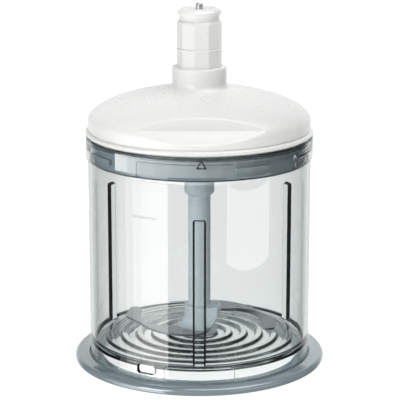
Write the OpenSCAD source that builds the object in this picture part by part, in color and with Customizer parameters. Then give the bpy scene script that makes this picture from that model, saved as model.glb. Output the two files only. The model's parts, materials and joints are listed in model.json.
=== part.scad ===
// Chopper attachment of a food processor: base ring, clear bowl, S-blade on a
// pin, and a lid with a 5:1 planetary reduction under a plug-in drive coupling.
// Millimetres. +Z is up, the front faces -Y, and the origin is the centre of
// the footprint on the table.

/* [Base] */
// Outer diameter of the base ring
base_d = 159.6; // [156:0.2:166]
// Height of the flat top of the base ring
base_h = 5.2; // [4.8:0.1:5.6]
// Diameter of the open middle of the base ring
base_bore_d = 123; // [116:1:126]

/* [Bowl] */
// Outer diameter of the bowl wall
bowl_d = 140; // [139:0.5:141]
// Thickness of the bowl wall
bowl_wall = 3; // [2.6:0.1:3.1]
// Level of the inner bowl floor between its ridges
floor_z = 15.3; // [14.8:0.1:15.6]
// Height of the concentric floor ridges
ridge_h = 1.7; // [1:0.1:1.9]
// Width of one floor ridge
ridge_w = 4.9; // [4:0.1:5.5]
// Distance from one floor ridge to the next
ridge_pitch = 9.73; // [9.4:0.01:9.8]
// Outer diameter of the collar round the bowl mouth
collar_d = 142.4; // [142.2:0.1:143]
// Height of the collar
collar_h = 14; // [13.6:0.1:14.2]
// Level of the bowl rim
rim_z = 146.1; // [146:0.1:146.2]
// Level at which the three wall ribs end
rib_top_z = 107.5; // [90:0.5:120]
// Width of a wall rib
rib_w = 7; // [5:0.5:9]

/* [Blade] */
// Radius swept by the blade tips
blade_reach = 57.9; // [52:0.1:60]
// Thickness of the blade steel
blade_t = 1.4; // [1:0.1:2]
// Level of the lower blade's underside
low_blade_z = 20.4; // [19.5:0.1:22]
// Level of the upper blade's underside
high_blade_z = 29.3; // [28:0.1:30]
// Diameter of the spindle between hub and drive socket
spindle_d = 14.2; // [13:0.2:16]
// Diameter of the drive socket at the top of the spindle
socket_d = 19; // [18.6:0.2:21.4]
// Diameter of the steel pin that the blade turns on
pin_d = 6; // [5:0.5:6]

/* [Lid] */
// Diameter of the bead round the lid's lower edge
lid_d = 142.8; // [142.4:0.1:143.4]
// Wall thickness of the lid shell
lid_wall = 2.2; // [1.8:0.1:2.4]
// Diameter of the neck collar
neck_d = 34; // [33:0.5:36]
// Level of the neck collar's top
neck_z = 189.2; // [188:0.2:191]
// Distance of the finger grips' upright faces from the axis
grip_y = 56; // [55:0.5:60]
// Angle that the bayonet turns through, in degrees
lock_angle = 18; // [14:1:18]

/* [Coupling] */
// Diameter of the ten-sided coupling sleeve across its corners
sleeve_d = 28.2; // [27.6:0.2:29]
// Level of the seam between the two sleeve halves
seam_z = 201; // [199:0.2:204]
// Level of the top of the sleeve
sleeve_z = 218.2; // [217:0.2:219]
// Level of the top of the coupling cap
cap_z = 225; // [224.6:0.1:225.4]
// Level of the tip of the drive shaft
shaft_z = 228.4; // [227.5:0.1:229]
// Diameter of the drive shaft's tip
tip_d = 4.2; // [3.6:0.1:4.6]

/* [Gears] */
// Gear module
gear_m = 1; // [1:0.01:1.04]
// Teeth of the sun gear
sun_teeth = 12; // [12]
// Teeth of each planet gear
planet_teeth = 18; // [18]
// Face width of the gears
gear_w = 6; // [5:0.1:6]

/* [Hidden] */
$fn = 96;

eps = 0.01;
front = 270;

// Base
base_r = base_d / 2;
base_under_z = 0.5;
grip_r = [71, 77];
grip_top_z = 1.5;
skirt_gap = 0.3;
seat_z = base_h - 2;

// Bowl
bowl_r = bowl_d / 2;
bowl_in_r = bowl_r - bowl_wall;
skirt_z = seat_z + 0.1;
floor_under_z = 12.6;
floor_fillet = 2.5;
ridge_n = 5;
first_ridge_r = 21.3;
ridge_top_z = floor_z + ridge_h;
ridge_draft = 0.5;
boss_r = 11.8;
rib_depth = 2.4;
rib_back_turn = 118;
collar_r = collar_d / 2;
collar_in_r = 69.3;
collar_z = rim_z - collar_h;
latch_az = front - 28;
latch_w = 12.4;
latch_h = 6.2;
latch_z = 8.6;
pad_half_angle = 18;
pad_t = 0.5;

// Bayonet between collar and lid
lug_n = 4;
gate_az = 197;
gate_angle = 40;
track_r = 67.2;
track_z = 139;
track_h = 2.2;
lug_angle = 20;
lug_r = 68.9;
lug_z = 135.7;
lug_h = 3;
stop_angle = 1.5;

// Blade assembly
hub_z = ridge_top_z + 0.4;
hub_r = 9.7;
hub_top_z = 35.8;
foot_r = 11.6;
foot_top_z = 20;
shoulder_r = 14.6;
flange_foot_r = 14.8;
flange_foot_z = [18.5, 21.9];
flange_foot_az = [120, 285];
eye_r = 9.2;
hook_r = 4;
hook_az = -38.1;
pin_r = pin_d / 2;
pin_top_z = 60;
bush_wall = 2;
running_gap = 0.05;
bush_r = pin_r + running_gap + bush_wall;
hub_bush_z = [hub_z + 0.1, 34];
socket_z = 109.2;
socket_top_z = 143;
socket_in_r = 7.9;
socket_floor_z = 123;
dog_z = 128;
dog_r = 7.4;
dog_core_r = 5;
dog_w = 3.4;
key_in_r = 5.4;

// Lid
lid_r = lid_d / 2;
lid_z = rim_z + 0.3;
side_r = 69.6;
side_top_z = 156.5;
side_ctrl_z = 158.9;
shoulder = [66.2, 161.6];
dome_ctrl = [55.5, 169.9];
dome_top = [21, 175.7];
neck_ctrl_z = 176.4;
neck_r = neck_d / 2;
neck_fillet_z = 180.4;
neck_floor_z = neck_z - 2.5;
spigot_r = 12;
shelf_z = 159.4;
shelf_slope = 24;
cover_z = 147.2;
cover_t = 2.2;
cover_top_z = cover_z + cover_t;
cover_r = 67;
cover_skirt_r = 66.6;
cover_skirt_t = 2.2;
cover_skirt_z = collar_z - 1.3;
flange_r = 68.6;
flange_z = [141.8, 143.1];
seal_r = [66.9, 69];
seal_z = [143.4, 145.4];
screw_circle_r = 52;
screw_n = 3;
screw_r = 1.5;
screw_head_r = 3.2;
screw_post_r = 3.6;
screw_top_z = 157;
cover_hub_r = [11, 13.6];
cover_hub_z = socket_top_z + 0.4;

// Coupling
sleeve_r = sleeve_d / 2;
sleeve_sides = 10;
sleeve_turn = 6;
lip_r = sleeve_r + 0.4;
lip_h = 0.9;
seam_gap = 0.3;
sleeve_bore_r = 10;
cap_neck_r = 12.3;
cap_neck_h = 2.3;
cap_rim_r = sleeve_r - 0.2;
cap_top_r = 12.2;
cap_bore_r = 2.7;
shaft_r = 3;
tip_r = tip_d / 2;
input_bush_r = 7;
input_bush_z = [184, 196];

// Gears
pressure_angle = 20;
backlash = 0.12;
addendum = 0.8 * gear_m;
dedendum = 1.05 * gear_m;
flank_steps = 5;
ring_teeth = sun_teeth + 2 * planet_teeth;
centre_dist = gear_m * (sun_teeth + planet_teeth) / 2;
planet_n = 3;
planet_pin_r = 2;
carrier_z = 150.2;
carrier_t = 3;
carrier_r = 20;
gear_z = 153.7;
ring_r = 28.5;
ring_top_z = gear_z + gear_w + 0.6;
ring_low_in_r = 26;
output_hub_r = 8.5;
washer_t = 0.7;

// Point on a quadratic curve from a to c, drawn towards b
function curve_point(a, b, c, t) = (1 - t) * (1 - t) * a + 2 * t * (1 - t) * b + t * t * c;
function curve(a, b, c, steps) = [for (i = [0 : steps]) curve_point(a, b, c, i / steps)];
function polar(r, az) = [r * cos(az), r * sin(az)];
function arc(centre, r, from, to, steps) =
    [for (i = [0 : steps]) centre + polar(r, from + (to - from) * i / steps)];

// A ring of rectangular section
module ring(r_in, r_out, z0, z1) {
    translate([0, 0, z0]) difference() {
        cylinder(h = z1 - z0, r = r_out);
        translate([0, 0, -1]) cylinder(h = z1 - z0 + 2, r = r_in);
    }
}

// A sector of a ring between two azimuths
module ring_sector(r_in, r_out, z0, z1, from, to) {
    rotate([0, 0, from]) rotate_extrude(angle = to - from)
        translate([r_in, z0]) square([r_out - r_in, z1 - z0]);
}

// Places its children at each of n even steps round the axis
module around(n, first = 0) {
    for (i = [0 : n - 1]) rotate([0, 0, first + i * 360 / n]) children();
}

// ---- base ----

module base_ring() {
    color([0.47, 0.53, 0.57]) rotate_extrude() difference() {
        polygon(concat(
            [[base_bore_d / 2, base_under_z]],
            arc([base_r - 1.6, base_under_z + 1.6], 1.6, -90, 0, 5),
            arc([base_r - 2.6, base_h - 2.6], 2.6, 0, 90, 6),
            [[base_bore_d / 2 + 0.8, base_h], [base_bore_d / 2, base_h - 0.8]]
        ));
        translate([bowl_in_r - skirt_gap, seat_z])
            square([bowl_wall + 2 * skirt_gap, base_h]);
        translate([grip_r[0], 0]) square([grip_r[1] - grip_r[0], grip_top_z]);
    }
}

module grip_ring() {
    color([0.3, 0.33, 0.35]) rotate_extrude()
        polygon([
            [grip_r[0], grip_top_z], [grip_r[0], 0.3], [grip_r[0] + 0.5, 0],
            [grip_r[1] - 0.5, 0], [grip_r[1], 0.3], [grip_r[1], grip_top_z]
        ]);
}

// ---- bowl ----

function ridge_points(i) = let (r1 = first_ridge_r + i * ridge_pitch, r0 = r1 - ridge_w) [
    [r0, floor_z], [r0 + ridge_draft, ridge_top_z], [r1 - ridge_draft, ridge_top_z], [r1, floor_z]
];

module bowl_section() {
    polygon(concat(
        [[0, floor_under_z], [bowl_in_r, floor_under_z], [bowl_in_r, skirt_z], [bowl_r, skirt_z]],
        [[bowl_r, collar_z - 0.8], [collar_r, collar_z + 0.6]],
        [[collar_r, rim_z - 0.5], [collar_r - 0.5, rim_z], [collar_in_r + 0.4, rim_z]],
        [[collar_in_r, rim_z - 0.4], [collar_in_r, collar_z + 0.3], [bowl_in_r, collar_z]],
        arc([bowl_in_r - floor_fillet, floor_z + floor_fillet], floor_fillet, 0, -90, 6),
        [for (i = [ridge_n - 1 : -1 : 0]) for (p = [3 : -1 : 0]) ridge_points(i)[p]],
        [[boss_r, floor_z], [boss_r - ridge_draft, ridge_top_z], [0, ridge_top_z]]
    ));
}

// Upright rib on the inside of the wall
module wall_rib() {
    translate([bowl_in_r - rib_depth, -rib_w / 2, floor_z])
        cube([rib_depth + bowl_wall / 2, rib_w, rib_top_z - floor_z]);
}

// Rounded slot through the skirt for the base latch
module latch_slot() {
    slot_r = 2;
    side = latch_w / 2 - slot_r;
    rise = latch_h / 2 - slot_r;
    for (y = [-1, 1]) for (z = [-1, 1])
        translate([bowl_in_r - 2, y * side, latch_z + latch_h / 2 + z * rise])
            rotate([0, 90, 0]) cylinder(h = 8, r = slot_r);
    translate([bowl_in_r - 2, -latch_w / 2 + slot_r, latch_z]) cube([8, latch_w - 2 * slot_r, latch_h]);
    translate([bowl_in_r - 2, -latch_w / 2, latch_z + slot_r]) cube([8, latch_w, latch_h - 2 * slot_r]);
}

// Overhanging track, end wall and stop that hold one lid lug
module bayonet_track() {
    wall_r = (collar_in_r + collar_r) / 2;
    ledge = 360 / lug_n - gate_angle;
    ring_sector(track_r, wall_r, track_z, track_z + track_h, gate_az - ledge, gate_az);
    ring_sector(track_r, wall_r, collar_z + 0.1, track_z + track_h,
        gate_az - ledge, gate_az - ledge + stop_angle);
    ring_sector(track_r, wall_r, collar_z + 0.1, track_z + eps,
        gate_az - lock_angle - stop_angle, gate_az - lock_angle);
}

module bowl() {
    color([0.86, 0.9, 0.9, 0.35]) difference() {
        union() {
            rotate_extrude() bowl_section();
            for (turn = [0, rib_back_turn, -rib_back_turn]) rotate([0, 0, front + turn]) wall_rib();
            around(lug_n) bayonet_track();
            around(2, front) ring_sector(bowl_r - 1, bowl_r + pad_t, base_h + 0.8, floor_z,
                -pad_half_angle, pad_half_angle);
        }
        around(2, latch_az) latch_slot();
        translate([0, 0, floor_under_z - 1]) cylinder(h = 10, r = pin_r);
    }
}

module bowl_pin() {
    color([0.75, 0.76, 0.78]) rotate_extrude()
        polygon([
            [0, floor_under_z], [pin_r, floor_under_z], [pin_r, pin_top_z - 0.8],
            [pin_r - 0.8, pin_top_z], [0, pin_top_z]
        ]);
}

// ---- blade ----

// One sickle blade: an eye round the pin, a band that sweeps out behind the
// hub, and a hooked tip that points to -Y
module blade_plate(z) {
    hook_centre = polar(blade_reach - hook_r, hook_az);
    root = [7, 22.6];
    bend = [36.9, 0.6];
    corner = [48.2, -18];
    edge_bend = [33.2, -3.2];
    edge_end = [12, 3.4];
    translate([0, 0, z]) difference() {
        union() {
            cylinder(h = blade_t, r = eye_r);
            linear_extrude(blade_t) polygon(concat(
                curve([-8, 4], [-5.6, 22], root, 8),
                curve(root, [27, 21.5], bend, 10),
                curve(bend, [41.5, -7], corner - [1.4, -3.4], 4),
                curve(corner - [1.4, -3.4], corner + [1, 0.6], corner - [0.1, 3], 4),
                arc(hook_centre, hook_r, 0, -180, 10),
                curve(hook_centre - [hook_r, -3], [40.2, -12], edge_bend, 8),
                curve(edge_bend, [27, 2.8], edge_end, 6)
            ));
        }
        translate([0, 0, -1]) cylinder(h = blade_t + 2, r = bush_r);
    }
}

module lower_blade() {
    color([0.66, 0.68, 0.7]) rotate([0, 0, 180]) blade_plate(low_blade_z);
}

module upper_blade() {
    color([0.66, 0.68, 0.7]) blade_plate(high_blade_z);
}

// Wedge-shaped shoulder that carries a blade root, seen from the front
module hub_shoulder(outline, depth) {
    translate([0, depth / 2, 0]) rotate([90, 0, 0]) linear_extrude(depth) polygon(outline);
}

// Flared half foot that covers the root of the lower blade
module flared_foot() {
    rim = 0.6;
    rotate([0, 0, flange_foot_az[0]]) rotate_extrude(angle = flange_foot_az[1] - flange_foot_az[0])
        polygon(concat(
            [[hub_r - 1, hub_z], [foot_r, hub_z], [flange_foot_r - rim, flange_foot_z[0]]],
            [[flange_foot_r, flange_foot_z[0] + rim], [flange_foot_r, flange_foot_z[1] - rim]],
            curve([flange_foot_r - rim, flange_foot_z[1]], [hub_r + 1.4, 23.8], [hub_r, 28], 6),
            [[hub_r - 1, 28]]
        ));
}

module blade_hub() {
    spindle_r = spindle_d / 2;
    socket_r = socket_d / 2;
    color([0.72, 0.76, 0.8]) difference() {
        union() {
            rotate_extrude() polygon([
                [0, hub_z], [foot_r - 0.6, hub_z], [foot_r, hub_z + 0.6], [foot_r, foot_top_z],
                [hub_r, foot_top_z + 2], [hub_r, hub_top_z - 1], [spindle_r + 0.6, hub_top_z],
                [spindle_r, hub_top_z + 1.2], [spindle_r, socket_z - 2.2],
                [socket_r - 0.8, socket_z - 0.8], [socket_r, socket_z],
                [socket_r, socket_top_z - 0.6], [socket_r - 0.6, socket_top_z], [0, socket_top_z]
            ]);
            intersection() {
                hub_shoulder([
                    [0, hub_top_z - 0.6], [12.8, hub_top_z - 0.6], [13.9, hub_top_z - 2],
                    [13.9, hub_top_z - 4], [4.6, 18.6], [0, 18.6]
                ], 18);
                cylinder(h = 60, r = shoulder_r);
            }
            flared_foot();
        }
        lower_blade();
        upper_blade();
        translate([0, 0, hub_z - 1]) cylinder(h = hub_bush_z[1] - hub_z + 1, r = bush_r);
        cylinder(h = pin_top_z + 4, r = pin_r + 0.6);
        difference() {
            translate([0, 0, socket_floor_z]) cylinder(h = 40, r = socket_in_r);
            around(3, front) translate([key_in_r, -dog_w / 2, socket_floor_z - 1])
                cube([6, dog_w, socket_top_z - socket_floor_z - 1]);
        }
    }
}

module hub_bush() {
    color([0.72, 0.55, 0.3])
        ring(pin_r + running_gap, bush_r, hub_bush_z[0], hub_bush_z[1]);
}

// ---- lid ----

// Half section of the lid's outside or, with w as the wall, of its cavity
function lid_profile(w) = concat(
    curve([side_r - w, side_top_z], [side_r - w, side_ctrl_z - 0.6 * w], shoulder - [0.6, 0.8] * w, 5),
    curve(shoulder - [0.6, 0.8] * w, dome_ctrl - [0.4, 0.9] * w, dome_top - [0.1, 1] * w, 12),
    curve(dome_top - [0.1, 1] * w, [neck_r - w, neck_ctrl_z - w], [neck_r - w, neck_fillet_z], 5)
);

// Everything in front of an upright grip face and above its sloping shelf
module grip_cut(w) {
    reach = 30;
    drop = reach * tan(shelf_slope);
    for (side = [0, 180]) rotate([0, 0, side])
        translate([-80, 0, 0]) rotate([90, 0, 90]) linear_extrude(160)
            polygon([
                [-grip_y + w, shelf_z - w], [-grip_y + w, 190], [-grip_y - reach, 190],
                [-grip_y - reach, shelf_z - w - drop]
            ]);
}

module lid_outside() {
    difference() {
        rotate_extrude() polygon(concat(
            [[0, lid_z], [lid_r - 0.5, lid_z]],
            arc([lid_r - 1.3, lid_z + 1.8], 1.3, -30, 60, 5),
            [[side_r + 0.5, lid_z + 4]],
            lid_profile(0),
            [[neck_r, neck_z - 0.7], [neck_r - 0.7, neck_z], [0, neck_z]]
        ));
        grip_cut(0);
    }
}

module lid_cavity() {
    difference() {
        rotate_extrude() polygon(concat(
            [[0, lid_z - 1], [side_r - lid_wall, lid_z - 1]],
            lid_profile(lid_wall),
            [[neck_r - lid_wall, neck_floor_z], [0, neck_floor_z]]
        ));
        grip_cut(lid_wall);
        around(screw_n) translate([screw_circle_r, 0, cover_top_z]) cylinder(h = 40, r = screw_post_r);
        ring(ring_r - 2.2, ring_r, ring_top_z + 0.1, 180);
    }
}

module lid_shell() {
    color([0.93, 0.93, 0.92]) difference() {
        lid_outside();
        lid_cavity();
        around(screw_n) translate([screw_circle_r, 0, cover_z])
            cylinder(h = screw_top_z - cover_z, r = screw_r);
        translate([0, 0, neck_floor_z - 1]) cylinder(h = 10, r = spigot_r);
    }
}

module gear_cover() {
    color([0.55, 0.61, 0.65]) difference() {
        union() {
            ring(cover_hub_r[0], cover_r, cover_z, cover_top_z);
            ring(cover_skirt_r - cover_skirt_t, cover_skirt_r, cover_skirt_z, cover_z + eps);
            ring(cover_skirt_r - eps, flange_r, flange_z[0], flange_z[1]);
            ring(cover_hub_r[0], cover_hub_r[1], cover_hub_z, cover_z + eps);
            ring(ring_r, ring_r + 2, cover_top_z - eps, cover_top_z + 8);
            around(lug_n, gate_az + 1.5) ring_sector(cover_skirt_r - eps, lug_r,
                lug_z, lug_z + lug_h, 0, lug_angle);
        }
        around(screw_n) translate([screw_circle_r, 0, cover_z - 1]) cylinder(h = 5, r = screw_r + 0.2);
    }
}

module lid_seal() {
    lip = 0.5;
    color([0.62, 0.67, 0.7]) rotate_extrude() polygon([
        [seal_r[0], seal_z[0]], [seal_r[1] - lip, seal_z[0]], [seal_r[1], seal_z[0] + lip],
        [seal_r[1], seal_z[1] - lip], [seal_r[1] - lip, seal_z[1]], [seal_r[0], seal_z[1]]
    ]);
}

module cover_screws() {
    head_h = 1.5;
    color([0.6, 0.61, 0.62]) around(screw_n) translate([screw_circle_r, 0, 0]) difference() {
        union() {
            translate([0, 0, cover_z - head_h]) cylinder(h = head_h, r = screw_head_r);
            translate([0, 0, cover_z - eps]) cylinder(h = screw_top_z - 0.3 - cover_z, r = screw_r);
        }
        for (turn = [0, 90]) rotate([0, 0, turn])
            translate([-1.8, -0.35, cover_z - head_h - 1]) cube([3.6, 0.7, 1.8]);
    }
}

// ---- coupling ----

module decagon(r, z0, z1) {
    rotate([0, 0, sleeve_turn]) translate([0, 0, z0])
        linear_extrude(z1 - z0) circle(r = r, $fn = sleeve_sides);
}

module sleeve_lower() {
    color([0.9, 0.9, 0.89]) difference() {
        union() {
            translate([0, 0, input_bush_z[0] - 2]) cylinder(h = neck_z - input_bush_z[0] + 3, r = spigot_r);
            decagon(sleeve_r, neck_z, seam_z - lip_h + eps);
            intersection() {
                decagon(lip_r, seam_z - lip_h, seam_z);
                rotate_extrude() polygon([
                    [0, seam_z - 2], [lip_r + 1, seam_z - 2], [lip_r + 1, seam_z - 1.2],
                    [sleeve_r - 0.6, seam_z + 0.4], [0, seam_z + 0.4]
                ]);
            }
        }
        translate([0, 0, input_bush_z[0]]) cylinder(h = 30, r = input_bush_r);
        translate([0, 0, input_bush_z[0] - 5]) cylinder(h = 20, r = shaft_r + 1);
    }
}

module sleeve_upper() {
    chamfer = 1.5;
    color([0.9, 0.9, 0.89]) difference() {
        intersection() {
            decagon(sleeve_r, seam_z + seam_gap, sleeve_z);
            rotate_extrude() polygon([
                [0, seam_z], [sleeve_r + 1, seam_z], [sleeve_r + 1, sleeve_z - chamfer - 1],
                [sleeve_r - chamfer, sleeve_z], [0, sleeve_z + eps]
            ]);
        }
        translate([0, 0, seam_z - 1]) cylinder(h = 40, r = sleeve_bore_r);
    }
    color([0.9, 0.9, 0.89]) ring(input_bush_r - 2, input_bush_r, input_bush_z[1] + 2, seam_z + 4);
    color([0.9, 0.9, 0.89]) ring(input_bush_r - eps, sleeve_bore_r + eps, seam_z + seam_gap, seam_z + 2);
}

module coupling_cap() {
    neck_top_z = sleeve_z + cap_neck_h;
    color([0.9, 0.9, 0.89]) difference() {
        intersection() {
            rotate_extrude() polygon([
                [0, sleeve_z - 6], [sleeve_bore_r, sleeve_z - 6], [sleeve_bore_r, sleeve_z],
                [cap_neck_r, sleeve_z], [cap_neck_r, neck_top_z], [cap_rim_r, cap_z - 2.3],
                [cap_rim_r, cap_z - 1.5], [cap_top_r, cap_z - 0.3], [cap_top_r - 0.5, cap_z],
                [0, cap_z]
            ]);
            decagon(sleeve_r, sleeve_z - 8, cap_z + 1);
        }
        translate([0, 0, sleeve_z - 8]) cylinder(h = 20, r = cap_bore_r);
        translate([0, 0, sleeve_z - 8]) cylinder(h = 10, r = shaft_r + 1);
    }
}

module input_shaft() {
    pilot_z = [carrier_z + 0.6, gear_z - 0.2];
    step_z = sleeve_z + 1;
    color([0.75, 0.76, 0.78]) rotate_extrude() polygon([
        [0, pilot_z[0]], [planet_pin_r, pilot_z[0]], [planet_pin_r, pilot_z[1]],
        [shaft_r, pilot_z[1]], [shaft_r, step_z], [tip_r, step_z + 1],
        [tip_r, shaft_z - 0.4], [tip_r - 0.4, shaft_z], [0, shaft_z]
    ]);
}

module input_bush() {
    color([0.72, 0.55, 0.3])
        ring(shaft_r + running_gap, input_bush_r, input_bush_z[0], input_bush_z[1]);
}

// Open spring ring that keeps the shaft from dropping
module retaining_clip() {
    color([0.35, 0.36, 0.38]) difference() {
        ring(shaft_r, input_bush_r - 2.4, input_bush_z[1] + 0.2, input_bush_z[1] + 1.2);
        translate([0, -1.2, input_bush_z[1] - 1]) cube([10, 2.4, 4]);
    }
}

// ---- gears ----

function involute(a) = tan(a) * 180 / PI - a;

// Half the angle that a tooth fills at radius r; slack narrows it
function half_tooth(teeth, slack, r) = let (
    pitch_r = gear_m * teeth / 2,
    base_circle_r = pitch_r * cos(pressure_angle),
    a = r > base_circle_r ? acos(base_circle_r / r) : 0
) 90 / teeth - slack / pitch_r * 90 / PI + involute(pressure_angle) - involute(a);

function flank_r(root, top, i) = root + (top - root) * i / flank_steps;

module tooth_outline(teeth, root, top, slack) {
    polygon([
        for (k = [0 : teeth - 1]) for (side = [-1, 1]) for (i = [0 : flank_steps])
            let (r = flank_r(root, top, side < 0 ? i : flank_steps - i))
                polar(r, k * 360 / teeth + side * half_tooth(teeth, slack, r))
    ]);
}

module spur_gear(teeth, bore_r, z0, z1) {
    pitch_r = gear_m * teeth / 2;
    translate([0, 0, z0]) linear_extrude(z1 - z0) difference() {
        tooth_outline(teeth, pitch_r - dedendum, pitch_r + addendum, backlash);
        circle(r = bore_r);
    }
}

module sun_gear() {
    color([0.7, 0.71, 0.72]) spur_gear(sun_teeth, shaft_r, gear_z, gear_z + gear_w + 0.8);
}

// A planet on its pin, with a tooth space turned towards the sun
module planet_gear(i) {
    color([0.85, 0.83, 0.76]) rotate([0, 0, i * 360 / planet_n])
        translate([centre_dist, 0, 0]) rotate([0, 0, 180 / planet_teeth])
            spur_gear(planet_teeth, planet_pin_r + running_gap, gear_z, gear_z + gear_w);
}

module planet_gear_1() { planet_gear(0); }
module planet_gear_2() { planet_gear(1); }
module planet_gear_3() { planet_gear(2); }

module ring_gear() {
    pitch_r = gear_m * ring_teeth / 2;
    color([0.85, 0.83, 0.76]) {
        translate([0, 0, gear_z - 0.4]) linear_extrude(ring_top_z - gear_z + 0.4) difference() {
            circle(r = ring_r);
            rotate([0, 0, 180 / ring_teeth])
                tooth_outline(ring_teeth, pitch_r - addendum, pitch_r + dedendum, -backlash);
        }
        ring(ring_low_in_r, ring_r, cover_top_z, gear_z - 0.4 + eps);
    }
}

// Carrier plate with the output hub and its three-winged dog
module planet_carrier() {
    color([0.8, 0.8, 0.78]) difference() {
        union() {
            translate([0, 0, carrier_z]) cylinder(h = carrier_t, r = carrier_r);
            translate([0, 0, socket_top_z + 0.4])
                cylinder(h = carrier_z - socket_top_z - 0.4 + eps, r = output_hub_r);
            translate([0, 0, dog_z]) cylinder(h = carrier_z - dog_z, r = dog_core_r);
            intersection() {
                translate([0, 0, dog_z]) cylinder(h = socket_top_z + 1 - dog_z, r = dog_r);
                around(3, front + 60) translate([0, -dog_w / 2, dog_z]) cube([10, dog_w, 30]);
            }
        }
        around(planet_n) translate([centre_dist, 0, carrier_z + 0.5]) cylinder(h = 10, r = planet_pin_r);
        translate([0, 0, carrier_z + 0.5]) cylinder(h = 10, r = planet_pin_r + running_gap);
    }
}

module planet_pins() {
    color([0.75, 0.76, 0.78]) around(planet_n) translate([centre_dist, 0, 0]) {
        translate([0, 0, carrier_z + 0.5])
            cylinder(h = gear_z + gear_w + 0.3 - carrier_z - 0.5, r = planet_pin_r);
        translate([0, 0, gear_z + gear_w + 0.2]) cylinder(h = 0.8, r = planet_pin_r + 1);
    }
}

module thrust_washer() {
    color([0.3, 0.3, 0.32]) ring(cover_hub_r[0] + 1, 18, cover_top_z, cover_top_z + washer_t);
}

module output_bush() {
    color([0.72, 0.55, 0.3])
        ring(output_hub_r + running_gap, cover_hub_r[0], cover_hub_z + 3, cover_top_z);
}

module output_seal() {
    color([0.3, 0.33, 0.35]) rotate_extrude() polygon([
        [output_hub_r + 0.1, cover_hub_z + 0.8], [cover_hub_r[0], cover_hub_z + 0.4],
        [cover_hub_r[0], cover_hub_z + 2.8], [output_hub_r + 1, cover_hub_z + 2.8],
        [output_hub_r + 0.1, cover_hub_z + 1.6]
    ]);
}

base_ring();
grip_ring();
bowl();
bowl_pin();
blade_hub();
lower_blade();
upper_blade();
hub_bush();
lid_shell();
gear_cover();
lid_seal();
cover_screws();
sleeve_lower();
sleeve_upper();
coupling_cap();
input_shaft();
input_bush();
retaining_clip();
sun_gear();
planet_gear_1();
planet_gear_2();
planet_gear_3();
ring_gear();
planet_carrier();
planet_pins();
thrust_washer();
output_bush();
output_seal();
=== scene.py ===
import json
import math

import bmesh
import bpy
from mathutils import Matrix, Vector

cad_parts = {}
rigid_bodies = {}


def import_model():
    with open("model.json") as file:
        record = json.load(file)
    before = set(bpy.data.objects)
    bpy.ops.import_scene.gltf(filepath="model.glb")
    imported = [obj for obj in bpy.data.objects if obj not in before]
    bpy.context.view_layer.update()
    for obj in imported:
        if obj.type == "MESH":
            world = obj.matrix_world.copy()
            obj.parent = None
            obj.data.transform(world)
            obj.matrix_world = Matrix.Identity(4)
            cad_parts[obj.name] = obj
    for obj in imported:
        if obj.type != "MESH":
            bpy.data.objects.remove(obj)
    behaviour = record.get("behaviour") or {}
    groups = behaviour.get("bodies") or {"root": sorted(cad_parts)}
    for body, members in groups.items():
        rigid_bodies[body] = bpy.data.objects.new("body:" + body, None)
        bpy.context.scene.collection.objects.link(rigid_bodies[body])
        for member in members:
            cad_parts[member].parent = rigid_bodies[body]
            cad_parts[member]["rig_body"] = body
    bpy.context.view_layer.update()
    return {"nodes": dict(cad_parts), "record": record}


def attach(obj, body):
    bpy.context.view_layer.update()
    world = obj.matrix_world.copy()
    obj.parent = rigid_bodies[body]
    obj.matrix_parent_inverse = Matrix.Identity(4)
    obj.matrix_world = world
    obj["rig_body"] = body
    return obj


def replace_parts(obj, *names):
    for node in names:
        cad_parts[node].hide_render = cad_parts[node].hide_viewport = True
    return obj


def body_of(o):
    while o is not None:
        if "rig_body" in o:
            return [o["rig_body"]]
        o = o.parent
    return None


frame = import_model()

NODES = frame["nodes"]
SLOTS = {row["node"]: row["material_slot"] for row in frame["record"]["subparts"]}
BODIES = {name: body_of(node)[0] for name, node in NODES.items()}
MM = 0.001


# ---------------------------------------------------------------- camera

def make_camera():
    """A long lens a little above the object, in front of it."""
    distance = 1.14
    pitch = math.radians(13.9)
    aim = Vector((0.0004, 0.0, 0.1033))
    camera = bpy.data.objects.new("camera", bpy.data.cameras.new("camera"))
    bpy.context.scene.collection.objects.link(camera)
    camera.data.sensor_width = 36
    camera.data.lens = 162
    camera.location = aim + distance * Vector((0, -math.cos(pitch), math.sin(pitch)))
    camera.rotation_euler = (math.pi / 2 - pitch, 0, 0)
    camera.data.clip_start, camera.data.clip_end = 0.05, 20
    bpy.context.scene.camera = camera


# ---------------------------------------------------------------- shaders

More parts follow.
